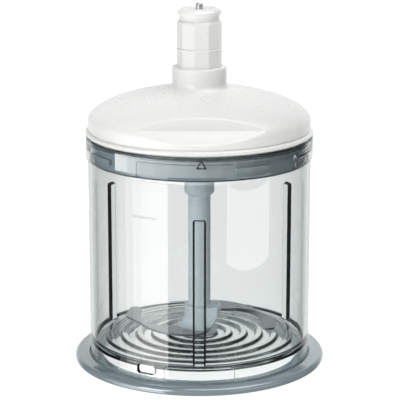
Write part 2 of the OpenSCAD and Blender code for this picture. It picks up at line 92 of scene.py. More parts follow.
class Tree:
    """Short words for building a material's nodes."""

    def __init__(self, name):
        self.material = bpy.data.materials.new(name)
        self.material.use_nodes = True
        self.nt = self.material.node_tree
        self.bsdf = self.nt.nodes["Principled BSDF"]
        self.out = self.nt.nodes["Material Output"]

    def add(self, kind, **values):
        node = self.nt.nodes.new(kind)
        for key, value in values.items():
            if key in node.inputs.keys():
                node.inputs[key].default_value = value
            else:
                setattr(node, key, value)
        return node

    def link(self, a, b):
        self.nt.links.new(a, b)

    def set(self, **values):
        for key, value in values.items():
            self.bsdf.inputs[key.replace("_", " ")].default_value = value

    def place(self, scale=(1, 1, 1)):
        """Object coordinates, stretched by scale."""
        coords = self.add("ShaderNodeTexCoord")
        mapping = self.add("ShaderNodeMapping")
        mapping.inputs["Scale"].default_value = scale
        self.link(coords.outputs["Object"], mapping.inputs["Vector"])
        return mapping.outputs["Vector"]

    def noise(self, scale, detail=3, stretch=(1, 1, 1)):
        node = self.add("ShaderNodeTexNoise", Scale=scale, Detail=detail)
        self.link(self.place(stretch), node.inputs["Vector"])
        return node.outputs["Fac"]

    def spread(self, value, low, high, begin=0.3, end=0.7):
        """Maps value from begin..end to low..high."""
        node = self.add("ShaderNodeMapRange")
        numbers = {"From Min": begin, "From Max": end, "To Min": low, "To Max": high}
        for key, number in numbers.items():
            node.inputs[key].default_value = number
        self.link(value, node.inputs["Value"])
        return node.outputs["Result"]

    def ramp(self, value, low, high, begin=0.3, end=0.7):
        """A colour between low and high as value goes from begin to end."""
        node = self.add("ShaderNodeValToRGB")
        stops = node.color_ramp.elements
        stops[0].position, stops[0].color = begin, (*low, 1)
        stops[1].position, stops[1].color = end, (*high, 1)
        self.link(value, node.inputs["Fac"])
        return node.outputs["Color"]

    def bump(self, value, strength, distance):
        node = self.add("ShaderNodeBump", Strength=strength, Distance=distance)
        self.link(value, node.inputs["Height"])
        return node.outputs["Normal"]

    def colour(self, socket):
        self.link(socket, self.bsdf.inputs["Base Color"])

    def roughness(self, socket):
        self.link(socket, self.bsdf.inputs["Roughness"])

    def normal(self, socket):
        self.link(socket, self.bsdf.inputs["Normal"])


def moulded_plastic(name, dark, light, rough, grain, coat, ior):
    """Injection-moulded plastic: faint specks and fine spark-eroded grain."""
    t = Tree(name)
    t.colour(t.ramp(t.noise(1500, 2), dark, light))
    t.roughness(t.spread(t.noise(700, 2), rough[0], rough[1]))
    t.normal(t.bump(t.noise(2600, 2), grain, 0.00006))
    t.set(IOR=ior, Coat_Weight=coat, Coat_Roughness=0.08)
    return t.material


def clear_plastic():
    """Clear styrene copolymer, faintly green in depth, that lets lamps through."""
    t = Tree("clear_plastic")
    t.set(Base_Color=(0.903, 0.917, 0.914, 1), Transmission_Weight=1.0, IOR=1.57, Roughness=0.0)
    t.normal(t.bump(t.noise(16, 1, (1, 1, 0.35)), 0.06, 0.0005))
    lamps = t.add("ShaderNodeBsdfTransparent", Color=(0.93, 0.95, 0.95, 1))
    path = t.add("ShaderNodeLightPath")
    mix = t.add("ShaderNodeMixShader")
    t.link(path.outputs["Is Shadow Ray"], mix.inputs[0])
    t.link(t.bsdf.outputs[0], mix.inputs[1])
    t.link(lamps.outputs[0], mix.inputs[2])
    t.link(mix.outputs[0], t.out.inputs["Surface"])
    depth = t.add("ShaderNodeVolumeAbsorption", Color=(0.4, 0.49, 0.47, 1), Density=25.0)
    t.link(depth.outputs[0], t.out.inputs["Volume"])
    return t.material


def metal(name, light, rough, squeeze):
    """Ground or turned metal: fine scratches along one direction."""
    t = Tree(name)
    dark = tuple(0.72 * c for c in light)
    scratches = t.noise(900, 4, squeeze)
    t.colour(t.ramp(scratches, dark, light, 0.25, 0.75))
    t.roughness(t.spread(scratches, rough[0], rough[1]))
    t.normal(t.bump(scratches, 0.08, 0.00004))
    t.set(Metallic=1.0)
    return t.material


def rubber(name, dark, light):
    """Matt moulded rubber with a cloudy colour and a fine grain."""
    t = Tree(name)
    t.colour(t.ramp(t.noise(120, 5), dark, light))
    t.roughness(t.spread(t.noise(300, 4), 0.62, 0.82))
    t.normal(t.bump(t.noise(1800, 3), 0.15, 0.0001))
    t.set(IOR=1.45)
    return t.material


# name: darker colour, lighter colour, roughness range, grain, coat, IOR
PLASTICS = {
    "white_plastic": ((0.835, 0.835, 0.818), (0.84, 0.84, 0.823), (0.27, 0.29), 0.012, 0.0, 1.5),
    "smoke_plastic": ((0.215, 0.27, 0.295), (0.235, 0.29, 0.315), (0.08, 0.12), 0.01, 1.0, 1.5),
    "cover_plastic": ((0.22, 0.27, 0.295), (0.26, 0.31, 0.335), (0.14, 0.2), 0.01, 0.4, 1.5),
    "hub_plastic": ((0.57, 0.63, 0.67), (0.6, 0.66, 0.7), (0.24, 0.3), 0.03, 0.0, 1.5),
    "gear_plastic": ((0.66, 0.64, 0.56), (0.72, 0.7, 0.62), (0.35, 0.45), 0.03, 0.0, 1.5),
    "mark_ink": ((0.045, 0.055, 0.06), (0.055, 0.065, 0.07), (0.6, 0.7), 0.03, 0.0, 1.02),
}
# name: colour, roughness range, how far the scratches are squeezed along each axis
METALS = {
    "blade_steel": ((0.43, 0.445, 0.46), (0.24, 0.36), (1, 6, 1)),
    "pin_steel": ((0.72, 0.73, 0.74), (0.34, 0.46), (1, 1, 12)),
    "dark_steel": ((0.12, 0.12, 0.13), (0.3, 0.42), (1, 1, 6)),
    "bronze": ((0.6, 0.42, 0.2), (0.25, 0.36), (1, 1, 10)),
}
# name: darker colour, lighter colour
RUBBERS = {
    "grip_rubber": ((0.045, 0.05, 0.055), (0.065, 0.07, 0.075)),
    # seal_silicone is near black: the lid's seal is a real part, but its dark colour is partly
    # painted shade that stands in for the shaded gap between the lid's bead and the collar
    "seal_silicone": ((0.07, 0.085, 0.095), (0.1, 0.12, 0.13)),
}


def make_materials():
    """One material for each slot of the record, and one for the collar's mark."""
    made = {"clear_plastic": clear_plastic()}
    for table, maker in ((PLASTICS, moulded_plastic), (METALS, metal), (RUBBERS, rubber)):
        for name, look in table.items():
            made[name] = maker(name, *look)
    return made


MATERIALS = make_materials()


def dress_nodes():
    """Every CAD node takes the material of its slot in the record."""
    for name, node in NODES.items():
        node.data.materials.clear()
        node.data.materials.append(MATERIALS[SLOTS[name]])


# ---------------------------------------------------------------- mesh tools

def smooth(x, low, high):
    """A soft step from 0 at low to 1 at high."""
    t = min(max((x - low) / (high - low), 0.0), 1.0)
    return t * t * (3 - 2 * t)


def patch(x, z, spread_x, spread_z, corner, soft):
    """1 inside a rounded rectangle and 0 outside, with a soft edge just inside its outline."""
    dx = abs(x - sum(spread_x) / 2) - (spread_x[1] - spread_x[0]) / 2 + corner
    dz = abs(z - sum(spread_z) / 2) - (spread_z[1] - spread_z[0]) / 2 + corner
    outside = math.hypot(max(dx, 0), max(dz, 0)) + min(max(dx, dz), 0) - corner
    return 1 - smooth(outside, -soft, 0)


def bezier(a, b, c, steps):
    """Points on a curve from a to c that leaves and arrives along the lines to b."""
    a, b, c = Vector(a), Vector(b), Vector(c)
    shares = [i / steps for i in range(steps + 1)]
    return [(1 - t) ** 2 * a + 2 * t * (1 - t) * b + t * t * c for t in shares]


def arc(centre, radius, start, end, steps):
    """Points on an arc between two angles in degrees."""
    x, y = centre
    angles = [math.radians(start + (end - start) * i / steps) for i in range(steps + 1)]
    return [Vector((x + radius * math.cos(a), y + radius * math.sin(a))) for a in angles]


def rounded(corners, steps=4):
    """A closed outline from (x, y, radius) corners. A radius of 0 leaves the corner sharp."""
    out = []
    for i, (x, y, radius) in enumerate(corners):
        here = Vector((x, y))
        if radius == 0:
            out.append(here)
            continue
        back = Vector(corners[i - 1][:2]) - here
        ahead = Vector(corners[(i + 1) % len(corners)][:2]) - here
        if min(back.length, ahead.length) < 1e-6:
            out.extend([here] * (steps + 1))
            continue
        half = max(back.angle(ahead) / 2, 0.05)
        reach = min(radius / math.tan(half), 0.48 * back.length, 0.48 * ahead.length)
        start, end = here + reach * back.normalized(), here + reach * ahead.normalized()
        out.extend(bezier(start, here, end, steps))
    return out


def columns(step, marks=()):
    """Azimuths in even steps, with twelve more close to each marked one: (azimuth, reach)."""
    values = [i * step for i in range(round(360 / step))]
    values += [(mark + reach * k / 6) % 360 for mark, reach in marks for k in range(-6, 7)]
    values.sort()
    kept = [values[0]]
    for value in values[1:]:
        if value - kept[-1] > 0.04:
            kept.append(value)
    return kept


def piece(name, bm, node, material=None, creases=32):
    """A finished piece made in mm: it takes the body and the slot of a CAD node."""
    bmesh.ops.scale(bm, vec=(MM, MM, MM), verts=bm.verts)
    bmesh.ops.remove_doubles(bm, verts=bm.verts, dist=1e-6)
    bmesh.ops.recalc_face_normals(bm, faces=bm.faces)
    mesh = bpy.data.meshes.new(name)
    bm.to_mesh(mesh)
    bm.free()
    mesh.shade_smooth()
    mesh.set_sharp_from_angle(angle=math.radians(creases))
    obj = bpy.data.objects.new(name, mesh)
    bpy.context.scene.collection.objects.link(obj)
    slot = SLOTS[node]
    mesh.materials.append(material or MATERIALS[slot])
    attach(obj, BODIES[node])
    return obj


def lathe(azimuths, section):
    """A turned solid. section(azimuth) is its closed outline (radius, height) at that azimuth."""
    bm = bmesh.new()
    rings = []
    for azimuth in azimuths:
        a = math.radians(azimuth)
        points = [(r * math.cos(a), r * math.sin(a), z) for r, z in section(azimuth)]
        rings.append([bm.verts.new(point) for point in points])
    for here, ahead in zip(rings, rings[1:] + rings[:1]):
        for i in range(len(here)):
            j = (i + 1) % len(here)
            bm.faces.new((here[i], ahead[i], ahead[j], here[j]))
    return bm


def carve(obj, cutters):
    """Cuts closed bmeshes out of obj and keeps the result as its mesh."""
    for bm in cutters:
        bmesh.ops.scale(bm, vec=(MM, MM, MM), verts=bm.verts)
        bmesh.ops.recalc_face_normals(bm, faces=bm.faces)
        mesh = bpy.data.meshes.new("cutter")
        bm.to_mesh(mesh)
        bm.free()
        cutter = bpy.data.objects.new("cutter", mesh)
        bpy.context.scene.collection.objects.link(cutter)
        modifier = obj.modifiers.new("cut", "BOOLEAN")
        modifier.operation, modifier.solver, modifier.object = "DIFFERENCE", "EXACT", cutter
        bpy.context.view_layer.update()
        evaluated = obj.evaluated_get(bpy.context.evaluated_depsgraph_get())
        result = bpy.data.meshes.new_from_object(evaluated)
        obj.modifiers.clear()
        obj.data = result
        bpy.data.objects.remove(cutter)
        bpy.data.meshes.remove(mesh)


def prism(outline, azimuth, r_in, r_out):
    """A closed block through the wall: an outline (sideways, height) swept from r_in to r_out."""
    a = math.radians(azimuth)
    out, side = Vector((math.cos(a), math.sin(a), 0)), Vector((-math.sin(a), math.cos(a), 0))
    bm = bmesh.new()
    ends = []
    for r in (r_in, r_out):
        points = [r * out + x * side + Vector((0, 0, z)) for x, z in outline]
        ends.append([bm.verts.new(point) for point in points])
    for i in range(len(outline)):
        j = (i + 1) % len(outline)
        bm.faces.new((ends[0][i], ends[0][j], ends[1][j], ends[1][i]))
    bm.faces.new(ends[0])
    bm.faces.new(ends[1])
    return bm


# ---------------------------------------------------------------- bowl

FRONT = 270
BOWL_R = 70.0
BOWL_IN_R = 67.0
SKIRT_Z = 3.3
UNDER_Z = 12.6
FLOOR_Z = 15.3
FLOOR_FILLET = 2.5
RIDGE_TOP_Z = 17.0
RIDGES = [21.3 + 9.73 * i for i in range(5)]
RIDGE_W = 4.9
BOSS_R = 11.8
PIN_HOLE_R = 3.03
RIM_Z = 146.1
COLLAR_Z = 132.1
COLLAR_R = 71.2
COLLAR_IN_R = 69.3
RIB_AZ = (FRONT, FRONT + 118, FRONT - 118)
RIB_HALF = 4.0
RIB_DEPTH = 2.4
RIB_TOP_Z = 107.7
RIB_SOFT = 1.25
LATCH_AZ = (FRONT - 28, FRONT - 208)
LATCH_HALF = 6.2
LATCH_Z = (8.6, 14.8)
PAD_HALF = 22.0
PAD_Z = (6.0, 15.4)
PAD_BORDER = 0.5
PAD_HEIGHT = 0.5
PAD_GROOVE = 0.9
LUGS = 4
GATE_AZ = 197
GATE_ANGLE = 40
LOCK_ANGLE = 18
LEDGE_Z = (138.8, 142.2)
LEDGE_DEPTH = 0.8
END_WALL_ANGLE = 1.7
END_WALL_DEPTH = 2.1
STOP_ANGLES = (89.8 - LOCK_ANGLE - 1.5, 90 - LOCK_ANGLE)
STOP_DEPTH = 0.3
FILL_LINE = (-35.4, -21.8)
FILL_LINE_Z = (107.0, 108.2)
FILL_LINE_HEIGHT = 0.22

# heights at which the wall's outside, the collar's inside and the wall's inside are read
OUTER_LEVELS = [
    5.9, 6, 6.07, 6.15, 6.25, 6.35, 6.45, 6.52, 6.6, 6.7, 7, 7.4, 8.2, 10, 12, 13, 13.8, 14.3, 14.6,
    14.8, 14.88, 14.95, 15.05, 15.15, 15.25, 15.33, 15.4, 15.5, 16.2, 20, 35, 50, 65, 80, 95, 103,
    106.6, 107, 107.15, 107.3, 107.45, 107.6, 107.75, 107.9, 108.05, 108.2, 108.6, 114, 122, 128,
    131]
TRACK_LEVELS = [
    143, 142, 141.6, 141.4, 141.2, 141, 140.8, 140.4, 140, 139.6, 139.2, 139, 138.8, 138.6, 138.2,
    137, 135.6, 134.2, 133.4]
INNER_LEVELS = [
    128, 122, 116, 111, 109, 108.2, 107.9, 107.7, 107.5, 107.3, 107.1, 106.9, 106.7, 106.5, 106.2,
    105.6, 104, 100, 90, 75, 60, 45, 32, 25, 21, 19]


def turn_from(azimuth, centre, period=360):
    """Degrees from the nearest of the features that repeat every period from centre."""
    return (azimuth - centre + period / 2) % period - period / 2


def outer_relief(azimuth, z):
    """Height of the pads and of the fill line on the bowl's outside."""
    across = math.radians(turn_from(azimuth, FRONT, 180)) * BOWL_R
    pad = patch(across, z, (-PAD_HALF, PAD_HALF), PAD_Z, 2.4, 0.15)
    inner_x = (PAD_BORDER - PAD_HALF, PAD_HALF - PAD_BORDER)
    inner_z = (PAD_Z[0] + PAD_BORDER, PAD_Z[1] - PAD_BORDER)
    groove = pad * (1 - patch(across, z, inner_x, inner_z, 1.9, 0.15))
    along = math.radians(turn_from(azimuth, FRONT)) * BOWL_R
    ends = [math.radians(end) * BOWL_R for end in FILL_LINE]
    line = patch(along, z, ends, FILL_LINE_Z, 0.5, 0.4)
    return PAD_HEIGHT * pad - PAD_GROOVE * groove + FILL_LINE_HEIGHT * line


def rib_relief(azimuth, z):
    """Height of the three ribs on the bowl's inside."""
    turn = min((turn_from(azimuth, rib) for rib in RIB_AZ), key=abs)
    across = math.radians(turn) * BOWL_IN_R
    return RIB_DEPTH * patch(across, z, (-RIB_HALF, RIB_HALF), (0, RIB_TOP_Z), 1.2, RIB_SOFT)


def track_relief(azimuth, z):
    """The bayonet's overhanging tracks, their end walls and stops, as depth inside the collar."""
    turn = (azimuth - GATE_AZ) % (360 / LUGS)
    mm = math.radians(1) * COLLAR_IN_R
    ledge_x = (GATE_ANGLE * mm, 360 / LUGS * mm)
    wall_x = (GATE_ANGLE * mm, (GATE_ANGLE + END_WALL_ANGLE) * mm)
    stop_x = [angle * mm for angle in STOP_ANGLES]
    ledge = patch(turn * mm, z, ledge_x, LEDGE_Z, 1.2, 1.2)
    wall = patch(turn * mm, z, wall_x, (131, 141.4), 0.6, 0.5)
    stop = patch(turn * mm, z, stop_x, (131, 140), 0.5, 0.7)
    return max(LEDGE_DEPTH * ledge, END_WALL_DEPTH * wall, STOP_DEPTH * stop)


def bowl_section(azimuth):
    """Outline of floor, skirt, wall and collar, from the pin's hole around the outside and back."""
    outline = [Vector((PIN_HOLE_R, RIDGE_TOP_Z)), Vector((PIN_HOLE_R, UNDER_Z))]
    outline.append(Vector((40, UNDER_Z)))
    outline += rounded([
        (66, UNDER_Z, 0), (BOWL_IN_R, UNDER_Z, 0.8), (BOWL_IN_R, 11, 0), (BOWL_IN_R, 8, 0)], 3)
    outline += rounded([
        (BOWL_IN_R, 6, 0), (BOWL_IN_R, SKIRT_Z, 0.7), (BOWL_R, SKIRT_Z, 0.7), (BOWL_R, 5.6, 0)], 3)
    outline += [Vector((BOWL_R + outer_relief(azimuth, z), z)) for z in OUTER_LEVELS]
    outline += rounded([
        (BOWL_R, 131.2, 0), (BOWL_R, 131.6, 0.4), (COLLAR_R, 132.8, 0.5), (COLLAR_R, 134.5, 0),
        (COLLAR_R, 144.5, 0), (COLLAR_R, RIM_Z, 0.6), (COLLAR_IN_R, RIM_Z, 0.5),
        (COLLAR_IN_R, 144.6, 0)])
    outline += [Vector((COLLAR_IN_R - track_relief(azimuth, z), z)) for z in TRACK_LEVELS]
    outline += rounded([
        (COLLAR_IN_R - track_relief(azimuth, 133), 133, 0),
        (COLLAR_IN_R - track_relief(azimuth, 132.5), 132.5, 0.3),
        (BOWL_IN_R, COLLAR_Z, 0.5), (BOWL_IN_R, 131, 0)])
    outline += [Vector((BOWL_IN_R - rib_relief(azimuth, z), z)) for z in INNER_LEVELS]
    fillet = arc((BOWL_IN_R - FLOOR_FILLET, FLOOR_Z + FLOOR_FILLET), FLOOR_FILLET, 0, -90, 10)
    limit = BOWL_IN_R - rib_relief(azimuth, 30)
    outline += [Vector((min(r, limit), z)) for r, z in fillet]
    ridges = []
    for outer in reversed(RIDGES):
        inner = outer - RIDGE_W
        ridges += [
            (outer, FLOOR_Z, 0.8), (outer - 0.5, RIDGE_TOP_Z, 0.8),
            (inner + 0.5, RIDGE_TOP_Z, 0.8), (inner, FLOOR_Z, 0.8)]
    boss = [
        (BOSS_R, FLOOR_Z, 0.8), (BOSS_R - 0.5, RIDGE_TOP_Z, 0.6), (PIN_HOLE_R + 2, RIDGE_TOP_Z, 0)]
    return outline + rounded([(60.5, FLOOR_Z, 0)] + ridges + boss, 4)


def make_bowl():
    """The clear bowl, with more columns where ribs, pads, tracks and fill line begin and end."""
    marks = [(rib + side * 2.9, 0.75) for rib in RIB_AZ for side in (-1, 1)]
    marks += [(centre + side * turn, reach) for centre in (90, 270) for side in (-1, 1)
              for turn, reach in ((17.8, 0.42), (16.5, 1.1))]
    marks += [(GATE_AZ + quarter + turn, 0.7) for quarter in (0, 90, 180, 270)
              for turn in (0, 40.3, 41.5, 70.4, 71.8)]
    marks += [(FRONT + end, 0.4) for end in FILL_LINE]
    bowl = piece("bowl_moulding", lathe(columns(1.875, marks), bowl_section), "bowl")
    slot = rounded([
        (-LATCH_HALF, LATCH_Z[0], 2), (LATCH_HALF, LATCH_Z[0], 2),
        (LATCH_HALF, LATCH_Z[1], 2), (-LATCH_HALF, LATCH_Z[1], 2)], 6)
    carve(bowl, [prism(slot, azimuth, 65, 74) for azimuth in LATCH_AZ])
    bowl.data.set_sharp_from_angle(angle=math.radians(32))
    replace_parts(bowl, "bowl")


def make_align_mark():
    """A thin raised triangle on the front of the collar that shows where the lid goes on."""
    aside, middle_z = 1.2, 141.4
    bm = bmesh.new()
    loops = []
    for size in (3.9, 2.2):
        tips = [math.radians(turn) for turn in (90, 210, 330)]
        corners = [(size * math.cos(a), middle_z + size * math.sin(a), 0.5) for a in tips]
        loops.append(rounded(corners, 4))
    for r in (COLLAR_R - 0.1, COLLAR_R + 0.12):
        for loop in loops:
            for x, z in loop:
                a = x / r
                bm.verts.new((r * math.sin(a) + aside, -r * math.cos(a), z))
    bm.verts.ensure_lookup_table()
    n = len(loops[0])
    for i in range(n):
        j = (i + 1) % n
        for a, b in ((0, 1), (1, 3), (3, 2), (2, 0)):
            bm.faces.new([bm.verts[k] for k in (a * n + i, a * n + j, b * n + j, b * n + i)])
    piece("align_mark", bm, "bowl", MATERIALS["mark_ink"])


# ---------------------------------------------------------------- base

BASE_R = 79.77
BASE_TOP_Z = 5.2
BASE_UNDER_Z = 0.5
SEAT_Z = 3.2
GRIP_GROOVE = (71, 77)
GRIP_GROOVE_Z = 1.5


def base_section(_):
    """A rounded rim, a sunk seat for the bowl's skirt and a groove below for the grip ring."""
    rim = arc((BASE_R - 1.6, 2.1), 1.6, -90, 0, 6)
    rim += arc((BASE_R - 2.6, BASE_TOP_Z - 2.6), 2.6, 0, 90, 12)
    inner = [
        (70.9, BASE_TOP_Z, 0.4), (70.3, SEAT_Z, 0.3), (66.7, SEAT_Z, 0.3), (66.7, BASE_TOP_Z, 0.4),
        (61.6, BASE_TOP_Z, 0.9), (61.5, BASE_UNDER_Z, 0.5)]
    groove = [
        (GRIP_GROOVE[0], BASE_UNDER_Z, 0.2), (GRIP_GROOVE[0], GRIP_GROOVE_Z, 0),
        (GRIP_GROOVE[1], GRIP_GROOVE_Z, 0), (GRIP_GROOVE[1], BASE_UNDER_Z, 0.2)]
    return rim + rounded(inner + groove, 5)


def make_base_ring():
    """The ring that the bowl stands in."""
    base = piece("base_moulding", lathe(columns(1.5), base_section), "base_ring", creases=40)
    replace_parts(base, "base_ring")


# ---------------------------------------------------------------- lid

LID_R = 69.6
LID_WALL = 2.2
LID_FOOT_Z = 146.4
LID_SIDE_Z = 150.6
SHELF_Z = 159.4
SHELF_SLOPE = math.tan(math.radians(24))
GRIP_Y = 56.0
NECK_R = 17
NECK_IN_R = 14.8
NECK_TOP_Z = 189.2
NECK_BORE_R = 12.05


class Path:
    """A line through points, walked by distance."""

    def __init__(self, points):
        self.points = [Vector(p) for p in points]
        self.at = [0.0]
        for a, b in zip(self.points, self.points[1:]):
            self.at.append(self.at[-1] + (b - a).length)
        self.length = self.at[-1]

    def __call__(self, s):
        s = min(max(s, 0.0), self.length)
        for i in range(len(self.at) - 1):
            if s <= self.at[i + 1]:
                share = (s - self.at[i]) / max(self.at[i + 1] - self.at[i], 1e-9)
                return self.points[i].lerp(self.points[i + 1], share)
        return self.points[-1]

    def find(self, test, low, high):
        """Where test turns true between two distances."""
        for _ in range(30):
            middle = (low + high) / 2
            if test(self(middle)):
                high = middle
            else:
                low = middle
        return (low + high) / 2


def dome_path(w):
    """The lid from its upright side to the foot of the neck, w below the outer surface."""
    side = LID_R - w
    shoulder = (66.2 - 0.6 * w, 161.6 - 0.8 * w)
    neck_foot = (21 - 0.1 * w, 175.7 - w)
    upright = bezier((side, 156.5), (side, 158.9 - 0.6 * w), shoulder, 12)
    crown = bezier(shoulder, (55.5 - 0.4 * w, 169.9 - 0.9 * w), neck_foot, 30)
    return Path([(side, LID_SIDE_Z)] + upright + crown[1:])


DOMES = {w: dome_path(w) for w in (0.0, LID_WALL)}


def dome_with_grips(azimuth, w):
    """The dome's outline at one azimuth, with the finger grip cut into it, from below up."""
    path = DOMES[w]
    c = max(abs(math.sin(math.radians(azimuth))), 0.05)
    face_r = (GRIP_Y - w) / c

    def above_shelf(p):
        return p.y > SHELF_Z - w - (p.x * c - GRIP_Y + w) * SHELF_SLOPE

    level = path.find(lambda p: p.y > SHELF_Z - w, 0, path.length)
    low = high = level
    foot = path(level)
    if path(level).x > face_r:
        low = path.find(above_shelf, 0, path.length)
        high = path.find(lambda p: p.x < face_r, low, path.length)
        foot = Vector((face_r, SHELF_Z - w))
    gap = 1.8
    below = [path((low - gap) * i / 6) for i in range(7)]
    above = [path(high + gap + (path.length - high - gap) * (i / 24)) for i in range(25)]
    corners = [(*below[-1], 0), (*path(low), 1.3), (*foot, 1.5), (*path(high), 1.2), (*above[0], 0)]
    return below[:-1] + rounded(corners, 6) + above[1:]


def lid_section(azimuth):
    """Outline from the foot up the outside, over the dome and neck, and back down the inside."""
    outside = rounded([(67.6, LID_FOOT_Z, 0), (70.9, LID_FOOT_Z, 0.4)], 3)
    outside += arc((70.1, 148.2), 1.3, -35, 75, 8)
    outside += rounded([
        (70.0, 149.7, 0), (69.0, 149.9, 0.3), (69.2, 150.5, 0.3), (LID_R, LID_SIDE_Z, 0)], 3)[:-1]
    outside += dome_with_grips(azimuth, 0.0)
    outside += bezier((20, 175.83), (NECK_R, 176.4), (NECK_R, 180.4), 10)[1:]
    outside += rounded([
        (NECK_R, 184, 0), (NECK_R, NECK_TOP_Z, 1.0), (NECK_BORE_R, NECK_TOP_Z, 0.3),
        (NECK_BORE_R, 186.7, 0.2), (NECK_IN_R, 186.7, 0.3), (NECK_IN_R, 179, 0)], 5)
    inside = bezier((NECK_IN_R, 178.4), (14.9, 174.2), (20.6, 173.5), 6)
    inside += reversed(dome_with_grips(azimuth, LID_WALL))
    return outside + inside + [Vector((67.4, 149))]


def make_lid():
    """The lid, with more columns at the ends of its two finger grips."""
    dome = DOMES[0.0]
    level = dome.find(lambda p: p.y > SHELF_Z, 0, dome.length)
    ends = math.degrees(math.acos(GRIP_Y / dome(level).x))
    marks = [(centre + side * (ends - 2), 3) for centre in (90, 270) for side in (-1, 1)]
    lid = piece("lid_moulding", lathe(columns(1.5, marks), lid_section), "lid_shell", creases=50)
    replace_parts(lid, "lid_shell")


# ---------------------------------------------------------------- coupling

SIDES = 10
SLEEVE_TURN = 6
SLEEVE_LOW_Z = 184
SEAM_Z = 201
SEAM_GAP = 0.02
SLEEVE_TOP_Z = 218.2


def decagon(azimuth):
    """Radius of a ten-sided outline with rounded corners."""
    corner_r, blend = 14.1, 1.6
    turn = math.radians(turn_from(azimuth, SLEEVE_TURN, 360 / SIDES))
    half = math.pi / SIDES
    centre = corner_r - blend / math.cos(half)
    tangent = math.atan2(blend * math.sin(half), centre + blend * math.cos(half))
    if abs(turn) > tangent:
        return corner_r * math.cos(half) / math.cos(half - abs(turn))
    return centre * math.cos(turn) + math.sqrt(blend ** 2 - (centre * math.sin(turn)) ** 2)


SLEEVE_COLUMNS = columns(3, [(SLEEVE_TURN + 360 // SIDES * i, 2.4) for i in range(SIDES)])


def sleeve_lower_section(azimuth):
    """From its seat in the neck up to the seam, with a thin bead just below the seam."""
    r = decagon(azimuth)
    return rounded([
        (r, NECK_TOP_Z, 0), (r, 199.8, 0.3), (r + 0.4, 200.2, 0.3), (r + 0.4, 200.5, 0.4),
        (r - 0.2, SEAM_Z, 0.1), (10, SEAM_Z, 0.2), (10, 196, 0), (7.05, 196, 0),
        (7.05, SLEEVE_LOW_Z, 0), (11.9, SLEEVE_LOW_Z, 0.5), (11.9, NECK_TOP_Z, 0)])


def sleeve_upper_section(azimuth):
    """From the seam up to the cap, drawn in to a round top."""
    r = decagon(azimuth)
    low = SEAM_Z + SEAM_GAP
    top = min(r - 0.2, 12.7)
    return rounded([
        (r - 0.3, low, 0), (r, 201.35, 0.3), (r, 216.6, 0.9), (top, SLEEVE_TOP_Z, 0.5),
        (10.02, SLEEVE_TOP_Z, 0.2), (10.02, low, 0.2)], 5)


def cap_section(_):
    """A flange with a dished top around the drive shaft."""
    return rounded([
        (2.75, SLEEVE_TOP_Z, 0), (12.3, SLEEVE_TOP_Z, 0), (12.3, 220.3, 0.5), (13.3, 222.3, 0.6),
        (13.85, 222.9, 0.5), (13.85, 223.6, 0.5), (12.3, 225.0, 0.5), (11.4, 225.0, 0.4),
        (10.9, 224.6, 0.5), (4.4, 224.45, 0.4), (3.8, 224.9, 0.4), (2.75, 224.9, 0.2)], 4)


def make_coupling():
    """The ten-sided sleeve in two halves, and the cap on top of it."""
    for name, section, node in (("sleeve_lower_body", sleeve_lower_section, "sleeve_lower"),
                                ("sleeve_upper_body", sleeve_upper_section, "sleeve_upper"),
                                ("cap_body", cap_section, "coupling_cap")):
        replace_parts(piece(name, lathe(SLEEVE_COLUMNS, section), node, creases=60), node)


# ---------------------------------------------------------------- blade hub

HUB_LOW_Z = 17.4
HUB_TOP_Z = 143
SPINDLE_R = 7.1
SOCKET_R = 9.5
SOCKET_IN_R = 7.9
SOCKET_FLOOR_Z = 123
BUSH_R = 3.7
BUSH_TOP_Z = 64
KEY_DEPTH = 2.5
WEDGE_HALF = 9
WEDGE_REACH = 14.4
FOOT_RIM_R = 14.8
FOOT_MIDDLE_AZ = 202.5
FOOT_HALF_ANGLE = 82.5
# (height, distance from the axis) of the wedge's face, the flared foot and the plain body
WEDGE_X = [(18.6, 4.6), (31.8, 13.9), (33.4, 13.9), (34.9, 12.6)]
FOOT_R = [
    (17.4, 11.4), (18.0, 13.6), (18.5, 14.8), (21.3, 14.8), (21.9, 14.0), (22.6, 12.3),
    (24.2, 10.8), (27, 9.7)]
HUB_BODY = [
    (17.4, 11.0), (18, 11.6), (19.6, 11.5), (20.6, 10.4), (21.6, 9.8), (23, 9.7), (34.9, 9.7),
    (35.5, 9.2), (35.9, 7.9), (36.6, 7.3), (37.6, SPINDLE_R)]


def between(table, z, outside=0.0):
    """Linear reading of a (height, value) table."""
    if z < table[0][0] or z > table[-1][0]:
        return outside
    for (z0, a), (z1, b) in zip(table, table[1:]):
        if z <= z1:
            return a + (b - a) * (z - z0) / (z1 - z0)
    return outside


def blend_max(a, b, soft=0.3):
    """The larger of two radii, with a fillet where they cross."""
    return max(a, b) + soft * math.log1p(math.exp(-abs(a - b) / soft))


def hub_radius(azimuth, z):
    """The hub with its wedge shoulder on the +X side and its flared half foot on the other."""
    a = math.radians(turn_from(azimuth, 0))
    radius = body = between(HUB_BODY, z, SPINDLE_R)
    across = between(WEDGE_X, z)
    if across and abs(a) < math.pi / 2:
        face = across / max(math.cos(a), 0.05)
        side = WEDGE_HALF / max(abs(math.sin(a)), 0.05)
        radius = blend_max(radius, min(face, side, WEDGE_REACH))
    flare = between(FOOT_R, z)
    if flare > body:
        share = smooth(FOOT_HALF_ANGLE - abs(turn_from(azimuth, FOOT_MIDDLE_AZ)), -3, 3)
        radius = blend_max(radius, body + (flare - body) * share)
    return min(radius, FOOT_RIM_R)


